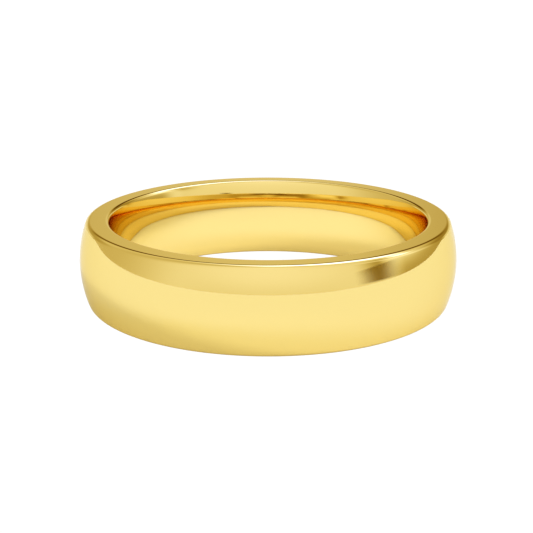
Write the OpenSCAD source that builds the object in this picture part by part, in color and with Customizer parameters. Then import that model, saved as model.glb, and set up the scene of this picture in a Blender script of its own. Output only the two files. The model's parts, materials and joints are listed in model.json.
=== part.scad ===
// Plain court-section wedding band: one strip of gold bent round and closed
// with a leaf of solder. The ring's axis is Z and the origin is at its centre.

/* [Ring] */
// Bore diameter at its narrowest, the middle of the width
inside_d = 18.6; // [14:0.1:23]
// Width of the band, measured along its axis
band_w = 5; // [4:0.1:7]
// Thickness of the metal at the middle of the width
thickness = 2; // [1.7:0.05:2.4]

/* [Court section] */
// Radius of the domed outside, across the width
dome_r = 6.8; // [6:0.1:14]
// Radius of the rounded shoulders between the dome and the flat edges
shoulder_r = 0.34; // [0.24:0.02:0.5]
// Length of the straight stretch of the bore that the finger bears on
land_l = 0.92; // [0.8:0.02:1.8]
// Radius of the comfort flare, from the straight stretch to each edge
flare_r = 9.1; // [8.5:0.1:14]
// Radius that takes the sharpness off the inside of each edge
edge_r = 0.22; // [0.1:0.02:0.26]

/* [Solder seam] */
// Thickness of the leaf of solder in the butt joint
seam_t = 0.1; // [0.05:0.01:0.2]
// Where round the ring the seam lies
seam_angle = 180; // [0:90:270]

/* [Hidden] */
$fn = 180;

// How far a corner's arc stands proud of its neighbour, so that the two cross
proud = 0.001;

half_w = band_w / 2;
land_rad = inside_d / 2;
outer_rad = land_rad + thickness;

// The section lies in the X-Y plane of its own drawing: X is the distance
// from the ring's axis and Y runs along that axis.

// Dome: an arc centred on the middle of the width
dome_x = outer_rad - dome_r;
// Shoulder: an arc that runs on from the dome's and touches the flat edge
shoulder_y = half_w - shoulder_r;
shoulder_a = asin(shoulder_y / (dome_r - shoulder_r));
shoulder_x = dome_x + (dome_r - shoulder_r) * cos(shoulder_a) + proud;

// Flare: an arc that leaves the straight stretch of the bore without a kink
flare_x = land_rad + flare_r;
flare_y = land_l / 2;
// Inside edge: an arc that runs on from the flare's and touches the flat edge
edge_y = half_w - edge_r;
edge_a = asin((edge_y - flare_y) / (flare_r - edge_r));
edge_x = flare_x - (flare_r - edge_r) * cos(edge_a) - proud;

gold = [0.94, 0.78, 0.42];
pale_gold = [0.93, 0.80, 0.50];

module disc(x, y, r) {
    translate([x, y]) circle(r);
}

// What is left outside a rounded corner: the corner's square, less the arc
module corner_waste(x, y, r, a, side) {
    reach = 2 * r;
    difference() {
        polygon([
            [x, y],
            [x, y + reach],
            [x + side * reach, y + reach],
            [x + side * reach, y + reach * tan(a)]
        ]);
        disc(x, y, r);
    }
}

module bore_side() {
    for (side = [-1, 1]) disc(flare_x, side * flare_y, flare_r);
    translate([land_rad, -flare_y]) square([flare_r, land_l]);
}

module court_section() {
    difference() {
        intersection() {
            translate([land_rad, -half_w]) square([thickness, band_w]);
            disc(dome_x, 0, dome_r);
            bore_side();
        }
        for (end = [0, 1]) mirror([0, end]) {
            corner_waste(shoulder_x, shoulder_y, shoulder_r, shoulder_a, 1);
            corner_waste(edge_x, edge_y, edge_r, edge_a, -1);
        }
    }
}

module closed_ring() {
    rotate_extrude() court_section();
}

// The gap between the strip's two ends, as a thin block across the section
module butt_joint() {
    rotate([0, 0, seam_angle])
        translate([land_rad - edge_r, -seam_t / 2, -band_w])
            cube([thickness + 2 * edge_r, seam_t, 2 * band_w]);
}

module band() {
    color(gold) difference() {
        closed_ring();
        butt_joint();
    }
}

module solder_seam() {
    color(pale_gold) intersection() {
        closed_ring();
        butt_joint();
    }
}

band();
solder_seam();
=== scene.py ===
import json
from math import asin, cos, pi, radians, sin

import bmesh
import bpy
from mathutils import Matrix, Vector


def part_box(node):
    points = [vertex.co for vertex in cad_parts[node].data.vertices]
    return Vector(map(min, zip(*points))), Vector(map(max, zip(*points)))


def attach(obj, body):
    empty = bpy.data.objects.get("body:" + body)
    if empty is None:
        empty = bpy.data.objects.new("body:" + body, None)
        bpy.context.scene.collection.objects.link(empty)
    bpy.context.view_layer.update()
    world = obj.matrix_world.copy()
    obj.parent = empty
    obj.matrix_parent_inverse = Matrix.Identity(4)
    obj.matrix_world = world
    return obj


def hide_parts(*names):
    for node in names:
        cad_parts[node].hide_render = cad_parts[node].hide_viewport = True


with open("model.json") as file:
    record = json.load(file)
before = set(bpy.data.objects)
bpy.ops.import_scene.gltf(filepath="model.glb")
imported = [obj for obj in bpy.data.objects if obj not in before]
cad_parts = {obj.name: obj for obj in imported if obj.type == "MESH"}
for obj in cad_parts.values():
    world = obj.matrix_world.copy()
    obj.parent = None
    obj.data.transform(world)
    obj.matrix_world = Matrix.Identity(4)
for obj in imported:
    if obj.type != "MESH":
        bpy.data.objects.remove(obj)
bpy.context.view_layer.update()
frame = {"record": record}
MM = 0.001


# ---- Band -------------------------------------------------------------------
# A strip of 18 carat yellow gold, rolled to a court section: domed outside,
# eased towards the finger inside, flat on both edges. It is bent round a
# mandrel until its ends meet, soldered, trued and polished to a mirror.

bore = next(m for m in frame["record"]["mounts"] if m["name"] == "finger_bore")
land_radius = bore["dims"]["r_mm"] * MM
land_half = bore["dims"]["length_mm"] * MM / 2
outer_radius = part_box("band")[1].x
half_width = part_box("band")[1].z
dome_radius = 6.8 * MM
shoulder_radius = 0.34 * MM
flare_radius = 9.1 * MM
edge_radius = 0.22 * MM
joint_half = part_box("solder_seam")[1].y
round_steps = 512
dome_steps = 20
shoulder_steps = 18
edge_steps = 12
flare_steps = 12
weld = 1e-7


def drag(bm, tip, about, angle, steps):
    """Draws on from a point of the section, along an arc."""
    bmesh.ops.spin(
        bm, geom=[tip], cent=(about[0], 0, about[1]), axis=(0, 1, 0), angle=angle, steps=steps
    )
    bm.verts.ensure_lookup_table()
    return bm.verts[-1]


def step_to(bm, tip, radius):
    """Draws on from a point of the section, straight across the flat edge."""
    made = bmesh.ops.extrude_vert_indiv(bm, verts=[tip])["verts"][0]
    made.co.x = radius
    return made


def bent_strip():
    """The closed ring: half the section is drawn, mirrored across the width and spun round the axis."""
    bm = bmesh.new()
    dome_centre = (outer_radius - dome_radius, 0)
    shoulder_height = half_width - shoulder_radius
    shoulder_turn = asin(shoulder_height / (dome_radius - shoulder_radius))
    shoulder_centre = (
        dome_centre[0] + (dome_radius - shoulder_radius) * cos(shoulder_turn),
        shoulder_height,
    )
    flare_centre = (land_radius + flare_radius, land_half)
    edge_height = half_width - edge_radius
    edge_turn = asin((edge_height - land_half) / (flare_radius - edge_radius))
    edge_centre = (flare_centre[0] - (flare_radius - edge_radius) * cos(edge_turn), edge_height)
    # A short step at each end of the flat edge keeps its shading flat.
    guard = 0.01 * MM

    tip = bm.verts.new((outer_radius, 0, 0))
    tip = drag(bm, tip, dome_centre, -shoulder_turn, dome_steps)
    tip = drag(bm, tip, shoulder_centre, shoulder_turn - pi / 2, shoulder_steps)
    tip = step_to(bm, tip, shoulder_centre[0] - guard)
    tip = step_to(bm, tip, edge_centre[0] + guard)
    tip = step_to(bm, tip, edge_centre[0])
    tip = drag(bm, tip, edge_centre, edge_turn - pi / 2, edge_steps)
    tip = drag(bm, tip, flare_centre, -edge_turn, flare_steps)
    crest = bmesh.ops.extrude_vert_indiv(bm, verts=[tip])["verts"][0]
    crest.co.z = 0

    bmesh.ops.mirror(bm, geom=bm.verts[:] + bm.edges[:], axis="Z", merge_dist=weld)
    bmesh.ops.remove_doubles(bm, verts=bm.verts, dist=weld)
    bmesh.ops.spin(
        bm,
        geom=bm.verts[:] + bm.edges[:],
        cent=(0, 0, 0),
        axis=(0, 0, 1),
        angle=2 * pi,
        steps=round_steps,
        use_merge=True,
    )
    return bm


def cut_out(bm, in_joint):
    """Cuts the ring at the two faces of its joint and keeps either the joint or all the rest."""
    for side in (-joint_half, joint_half):
        near = [f for f in bm.faces if f.calc_center_median().x < 0]
        edges = {e for f in near for e in f.edges}
        verts = {v for f in near for v in f.verts}
        bmesh.ops.bisect_plane(
            bm, geom=near + list(edges) + list(verts), plane_co=(0, side, 0), plane_no=(0, 1, 0)
        )
    waste = []
    for face in bm.faces:
        middle = face.calc_center_median()
        if (middle.x < 0 and abs(middle.y) < joint_half) != in_joint:
            waste.append(face)
    bmesh.ops.delete(bm, geom=waste, context="FACES")
    rim = [e for e in bm.edges if e.is_boundary]
    bmesh.ops.holes_fill(bm, edges=rim)
    for edge in rim:
        edge.smooth = False
    bmesh.ops.recalc_face_normals(bm, faces=bm.faces)
    for face in bm.faces:
        face.smooth = True


def finish_piece(bm, name, material):
    """Turns a shape into a named piece in one material."""
    mesh = bpy.data.meshes.new(name)
    bm.to_mesh(mesh)
    bm.free()
    mesh.materials.append(material)
    piece = bpy.data.objects.new(name, mesh)
    bpy.context.scene.collection.objects.link(piece)
    return piece


def linear(hex_colour):
    """An sRGB hex colour as the linear values that a shader takes."""
    parts = [int(hex_colour[i:i + 2], 16) / 255 for i in (0, 2, 4)]
    return [p / 12.92 if p <= 0.04045 else ((p + 0.055) / 1.055) ** 2.4 for p in parts] + [1]


def add_node(tree, kind, links=None, **settings):
    """Adds a node, makes its settings, and fills its inputs from other nodes or with values."""
    node = tree.nodes.new(kind)
    for setting, value in settings.items():
        setattr(node, setting, value)
    for socket, value in (links or {}).items():
        if isinstance(value, bpy.types.NodeSocket):
            tree.links.new(value, node.inputs[socket])
        else:
            node.inputs[socket].default_value = value
    return node


def polished_gold(name, colour):
    """Solid gold alloy, buffed to a mirror.

    The eye gets sharp, warm reflections. Close to, the mop has left hair lines
    round the ring and a slight haze, which varies from place to place.
    """
    gold = bpy.data.materials.new(name)
    gold.use_nodes = True
    tree = gold.node_tree
    shader = tree.nodes["Principled BSDF"]
    shader.inputs["Base Color"].default_value = linear(colour)
    shader.inputs["Metallic"].default_value = 1
    # Gold stays yellow where it is seen along its surface.
    shader.inputs["Specular Tint"].default_value = linear("F5EDD0")

    place = add_node(tree, "ShaderNodeTexCoord").outputs["Object"]
    axes = add_node(tree, "ShaderNodeSeparateXYZ", {0: place})
    flat = add_node(tree, "ShaderNodeCombineXYZ", {"X": axes.outputs["X"], "Y": axes.outputs["Y"]})
    out = add_node(tree, "ShaderNodeVectorMath", {0: flat.outputs[0]}, operation="LENGTH")
    round_lines = add_node(
        tree, "ShaderNodeCombineXYZ", {"X": out.outputs["Value"], "Y": axes.outputs["Z"]}
    )

    # Lines from a mop run 0.02 mm apart; they are drawn 0.08 mm apart so that they show.
    line_gap = 0.08 * MM
    lines = add_node(
        tree,
        "ShaderNodeTexNoise",
        {"Vector": round_lines.outputs[0], "Scale": 1 / line_gap, "Detail": 3.0, "Roughness": 0.6},
    )
    # The mop lifts and lands every 2 mm or so, and the haze it leaves comes and goes with it.
    patch_size = 2.2 * MM
    patches = add_node(
        tree, "ShaderNodeTexNoise", {"Vector": place, "Scale": 1 / patch_size, "Detail": 2.0}
    )
    haze = add_node(
        tree,
        "ShaderNodeMath",
        {0: lines.outputs[0], 1: patches.outputs[0]},
        operation="MULTIPLY",
    )
    rough = add_node(
        tree,
        "ShaderNodeMapRange",
        {"Value": haze.outputs[0], "From Min": 0.1, "From Max": 0.45, "To Min": 0.02, "To Max": 0.07},
    )
    bump = add_node(
        tree,
        "ShaderNodeBump",
        {"Height": haze.outputs[0], "Strength": 0.2, "Distance": 0.0005 * MM},
    )
    tree.links.new(rough.outputs[0], shader.inputs["Roughness"])
    tree.links.new(bump.outputs[0], shader.inputs["Normal"])
    return gold


ring = bent_strip()
cut_out(ring, False)
band = finish_piece(ring, "band_polished", polished_gold("polished 18 carat yellow gold", "FAE18F"))
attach(band, "root")
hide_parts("band")


# ---- Solder seam ------------------------------------------------------------
# The film of hard gold solder that closes the strip's butt joint. It runs
# across the whole section and is filed and polished flush with the band, so
# only a slightly paler line is left of it.

ring = bent_strip()
cut_out(ring, True)
seam = finish_piece(ring, "solder_seam_flush", polished_gold("polished hard gold solder", "F9E193"))
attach(seam, "root")
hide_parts("solder_seam")


# ---- Table ------------------------------------------------------------------
# Two sheets of opal acrylic. The band stands on the matt one and mirrors it;
# the other, lit from below, is the plain pale ground that a viewer sees.

table_half = 2.0
lit_sheet_drop = 0.2 * MM
# Within these radii the matt sheet glows more: a painted pool of light on the ground inside the band.
painted_light_full_radius = 8.4 * MM
painted_light_end_radius = 9.4 * MM


def sheet(name, height, material):
    """A square sheet of the table, 4 m across."""
    bm = bmesh.new()
    bmesh.ops.create_grid(bm, x_segments=1, y_segments=1, size=table_half)
    piece = finish_piece(bm, name, material)
    piece.location.z = height
    return piece


def opal_acrylic(name, colour, glow, inside_painted_light):
    """Opal acrylic sheet, lit from below: a soft, even white that shows no gloss.

    Within the band it glows a little more: a painted pool of light on the ground there, which the bore
    mirrors.
    """
    acrylic = bpy.data.materials.new(name)
    acrylic.use_nodes = True
    tree = acrylic.node_tree
    shader = tree.nodes["Principled BSDF"]
    shader.inputs["Base Color"].default_value = linear(colour)
    shader.inputs["Roughness"].default_value = 1
    shader.inputs["Specular IOR Level"].default_value = 0
    shader.inputs["Emission Color"].default_value = linear("FFFFFF")
    place = add_node(tree, "ShaderNodeTexCoord").outputs["Object"]
    out = add_node(tree, "ShaderNodeVectorMath", {0: place}, operation="LENGTH")
    glow_and_painted_pool = add_node(
        tree,
        "ShaderNodeMapRange",
        {
            "Value": out.outputs["Value"],
            "From Min": painted_light_end_radius,
            "From Max": painted_light_full_radius,
            "To Min": glow,
            "To Max": inside_painted_light,
        },
        interpolation_type="SMOOTHSTEP",
    )
    tree.links.new(glow_and_painted_pool.outputs[0], shader.inputs["Emission Strength"])
    return acrylic


# The matt sheet's stronger glow inside the band is painted light, which the bore mirrors.
matt_acrylic = opal_acrylic("matt opal acrylic", "F0F3EF", glow=0.09, inside_painted_light=0.18)
matt_sheet = sheet("matt_table", -half_width, matt_acrylic)
matt_sheet.visible_camera = False
lit_acrylic = opal_acrylic("lit opal acrylic", "000000", glow=1.05, inside_painted_light=1.05)
lit_sheet = sheet("lit_table", -half_width - lit_sheet_drop, lit_acrylic)
lit_sheet.visible_diffuse = False
lit_sheet.visible_glossy = False
lit_sheet.visible_shadow = False


# ---- Backdrop ---------------------------------------------------------------
# A seamless white shell, 4 m across, round the whole set. It takes no part in the
# band's lighting or reflections, and only a camera that sees past 2 m shows it.

shell_radius = 2.0
bm = bmesh.new()
bmesh.ops.create_uvsphere(bm, u_segments=48, v_segments=24, radius=shell_radius)
backdrop = finish_piece(bm, "backdrop", lit_acrylic)
backdrop.visible_diffuse = False
backdrop.visible_glossy = False
backdrop.visible_shadow = False


# ---- Light tent -------------------------------------------------------------
# Plain soft studio light from the walls of a white fabric tent. Bearings are in
# degrees: 0 is the viewer's side, 90 the right, 180 the far side. Each panel
# is bearing, half width, bottom, top, soft edge across, soft edge up, level.

tent_level = 0.8
panels = [
    # The front wall, lit the most, its lower part, and the duller left wall.
    (0, 60, -30, 120, 60, 20, 1.0),
    (0, 50, -30, 5, 20, 15, 0.85),
    (-110, 30, -30, 120, 30, 20, 0.65),
    # At the right, an upright strip light with dark flags beside, above and behind it.
    (70, 5, 10, 25, 15, 5, 0.2),
    (85, 10, 25, 45, 10, 10, 0.3),
    (90, 15, -10, 35, 10, 10, 1.1),
    (110, 30, -30, 10, 10, 10, 0.5),
    # At the far side, two brown screens with a pale strip under each, and a black header.
    (145, 25, 5, 30, 10, 10, 0.35),
    (-145, 25, 5, 25, 10, 5, 0.5),
    (150, 15, -30, 10, 5, 5, 0.9),
    (-150, 15, -30, 10, 5, 5, 0.9),
    (180, 25, 20, 40, 10, 5, 0.1),
    # Two soft boxes overhead, far and right.
    (105, 10, 35, 45, 10, 5, 1.8),
    (155, 35, 45, 70, 15, 5, 1.8),
]

tent = bpy.data.worlds.new("light tent")
bpy.context.scene.world = tent
tent.use_nodes = True
tree = tent.node_tree
direction = add_node(tree, "ShaderNodeTexCoord").outputs["Generated"]
way = add_node(tree, "ShaderNodeSeparateXYZ", {0: direction})
towards = add_node(tree, "ShaderNodeMath", {0: way.outputs["Y"], 1: -1.0}, operation="MULTIPLY")
bearing = add_node(
    tree, "ShaderNodeMath", {0: way.outputs["X"], 1: towards.outputs[0]}, operation="ARCTAN2"
)
height = add_node(tree, "ShaderNodeMath", {0: way.outputs["Z"]}, operation="ARCSINE")


def fade(value, start, end):
    """A soft edge: 0 before start and 1 after end, both in degrees."""
    limits = {"Value": value, "From Min": radians(start), "From Max": radians(end)}
    return add_node(tree, "ShaderNodeMapRange", limits, interpolation_type="SMOOTHSTEP").outputs[0]


def product(first, second):
    """Where both edges let light through."""
    return add_node(tree, "ShaderNodeMath", {0: first, 1: second}, operation="MULTIPLY").outputs[0]


level = tent_level
for middle, half, bottom, top, soft_across, soft_up, brightness in panels:
    turn = add_node(
        tree, "ShaderNodeMath", {0: bearing.outputs[0], 1: radians(middle)}, operation="SUBTRACT"
    )
    wrapped = add_node(
        tree, "ShaderNodeMath", {0: turn.outputs[0], 1: pi, 2: -pi}, operation="WRAP"
    )
    aside = add_node(tree, "ShaderNodeMath", {0: wrapped.outputs[0]}, operation="ABSOLUTE").outputs[0]
    across = fade(aside, half + soft_across, half - soft_across)
    above = fade(height.outputs[0], bottom - soft_up, bottom + soft_up)
    below = fade(height.outputs[0], top + soft_up, top - soft_up)
    inside = product(across, product(above, below))
    blend = add_node(tree, "ShaderNodeMix", {0: inside, 2: level, 3: brightness}, data_type="FLOAT")
    level = blend.outputs[0]

# The dimmer a wall is, the warmer it looks; the lit panels, above 1, are as cold as daylight.
green_power = 1.33
blue_power = 2.65
green = add_node(tree, "ShaderNodeMath", {0: level, 1: green_power}, operation="POWER")
blue = add_node(tree, "ShaderNodeMath", {0: level, 1: blue_power}, operation="POWER")
colour = add_node(
    tree, "ShaderNodeCombineColor", {0: level, 1: green.outputs[0], 2: blue.outputs[0]}
)
tree.links.new(colour.outputs[0], tree.nodes["Background"].inputs["Color"])


# ---- Key lamp ---------------------------------------------------------------
# A soft lamp above the tent's right wall. It lights the table only, so the band
# shades the ground on its left and mirrors that shade in its dome.

lamp_height = radians(50)
lamp_data = bpy.data.lights.new("key lamp", "SUN")
lamp_data.energy = 0.8
lamp_data.angle = radians(20)
lamp = bpy.data.objects.new("key lamp", lamp_data)
bpy.context.scene.collection.objects.link(lamp)
lamp.rotation_euler = (0, pi / 2 - lamp_height, 0)
lamp.visible_glossy = False


# ---- Brown card -------------------------------------------------------------
# A strip of brown card that fades out at its edges, hung 4 mm off the dome at the
# front right. The dome mirrors it as one soft dark stroke.

card_half_length = 2.9 * MM
card_half_height = 1.05 * MM
card_place = (10 * MM, -11.2 * MM, 2.3 * MM)
card_bearing = radians(70)
card_cover = 0.95
card_solid_part = 0.7
bm = bmesh.new()
bmesh.ops.create_grid(bm, x_segments=1, y_segments=1, size=1)
bmesh.ops.scale(bm, verts=bm.verts, vec=(card_half_length, card_half_height, 1))

brown = bpy.data.materials.new("brown card")
brown.use_nodes = True
tree = brown.node_tree
shader = tree.nodes["Principled BSDF"]
shader.inputs["Base Color"].default_value = linear("9A8444")
shader.inputs["Roughness"].default_value = 1
shader.inputs["Specular IOR Level"].default_value = 0
place = add_node(tree, "ShaderNodeTexCoord").outputs["Object"]
card_axes = add_node(tree, "ShaderNodeSeparateXYZ", {0: place})
along = add_node(tree, "ShaderNodeMath", {0: card_axes.outputs["X"]}, operation="ABSOLUTE")
across = add_node(tree, "ShaderNodeMath", {0: card_axes.outputs["Y"]}, operation="ABSOLUTE")
ends = add_node(
    tree,
    "ShaderNodeMapRange",
    {"Value": along.outputs[0], "From Min": card_half_length, "From Max": 0.0, "To Max": card_cover},
    interpolation_type="SMOOTHSTEP",
)
sides = add_node(
    tree,
    "ShaderNodeMapRange",
    {
        "Value": across.outputs[0],
        "From Min": card_half_height,
        "From Max": card_solid_part * card_half_height,
    },
    interpolation_type="SMOOTHSTEP",
)
cover = add_node(
    tree, "ShaderNodeMath", {0: ends.outputs[0], 1: sides.outputs[0]}, operation="MULTIPLY"
)
tree.links.new(cover.outputs[0], shader.inputs["Alpha"])

card = finish_piece(bm, "brown_card", brown)
card.location = card_place
card.rotation_euler = (pi / 2, 0, card_bearing)
card.visible_camera = False
card.visible_diffuse = False
card.visible_shadow = False


# ---- Camera -----------------------------------------------------------------
# A short telephoto view from a little above the band's upper edge.

elevation = radians(16)
distance = 71 * MM
aim_right = -0.1 * MM
aim_down = 0.7 * MM
camera_data = bpy.data.cameras.new("camera")
camera = bpy.data.objects.new("camera", camera_data)
bpy.context.scene.collection.objects.link(camera)
bpy.context.scene.camera = camera
camera_data.lens = 79
camera_data.clip_start = 1 * MM
camera_data.clip_end = 10
camera.location = (0, -distance * cos(elevation), distance * sin(elevation))
aim = Vector((aim_right, 0, 0)) - Vector((0, sin(elevation), cos(elevation))) * aim_down
camera.rotation_euler = (aim - camera.location).to_track_quat("-Z", "Y").to_euler()
bpy.context.scene.view_settings.view_transform = "Standard"

# Inside the band a reflection is mirrored many times over before it fades.
bpy.context.scene.cycles.max_bounces = 24
bpy.context.scene.cycles.glossy_bounces = 24
